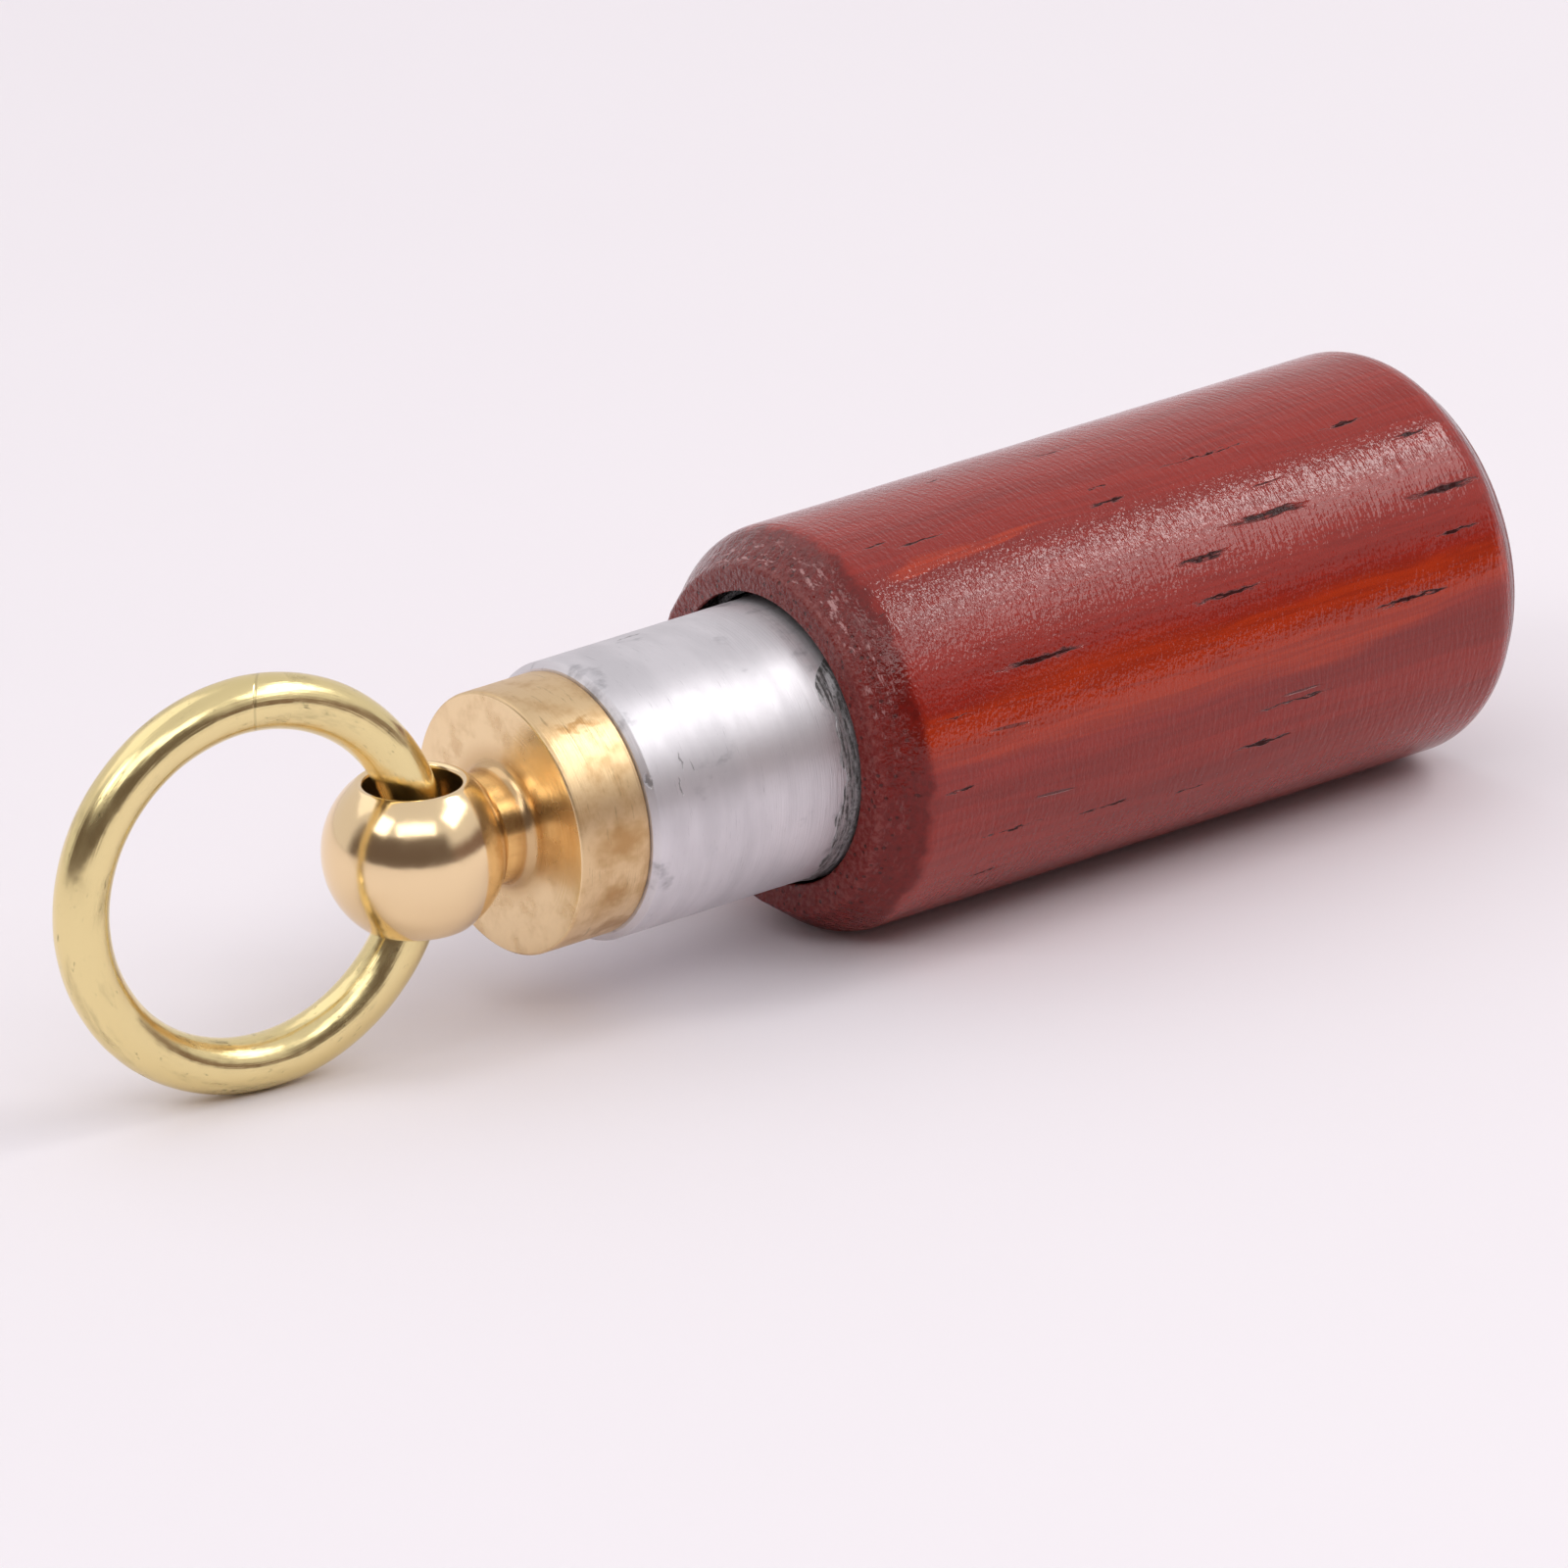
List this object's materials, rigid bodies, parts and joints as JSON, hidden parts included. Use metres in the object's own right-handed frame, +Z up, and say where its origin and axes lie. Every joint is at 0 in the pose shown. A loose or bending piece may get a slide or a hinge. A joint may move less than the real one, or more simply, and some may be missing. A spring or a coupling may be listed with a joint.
{
  "type": "twist bird call",
  "caption": "Twist bird call: stained hardwood barrel, rosined aluminium plug that turns and slides in its bore, turned brass head with a ball, and a brass wire ring that swings.",
  "frame": {"origin": "on the table under the middle of the call's length, as the call lies on its side with its ring on edge", "axes": "+X along the call's axis towards the rear of the barrel, +Z up from the table; the ring is at the -X end"},
  "size_m": [0.0786, 0.02, 0.0206],
  "materials": {
    "stained_wood": "red-stained hardwood under gloss lacquer",
    "rosin": "packed rosin powder",
    "rosin_dark": "rosin darkened by metal dust",
    "aluminium": "satin turned, scuffed",
    "turned_brass": "polished ball, turned collar",
    "ring_brass": "satin drawn wire, lightly tarnished"
  },
  "bodies": {
    "barrel": {"barrel": "stained_wood", "rosin_charge": "rosin"},
    "rosin": {"rosin_film": "rosin_dark"},
    "plug": {"plug": "aluminium", "head": "turned_brass"},
    "ring": {"ring": "ring_brass"}
  },
  "joints": [
    {"name": "plug_pull", "type": "slide", "parent": "barrel", "child": "rosin", "axis": [-1, 0, 0], "range_m": [-0.001, 0.023]},
    {"name": "plug_twist", "type": "hinge", "parent": "rosin", "child": "plug", "pos_m": [0, 0, 0.01], "axis": [1, 0, 0], "continuous": true},
    {"name": "ring_swing", "type": "hinge", "parent": "plug", "child": "ring", "pos_m": [-0.02051, 0, 0.01], "axis": [0, 0, 1], "range_deg": [-140, 156]}
  ]
}
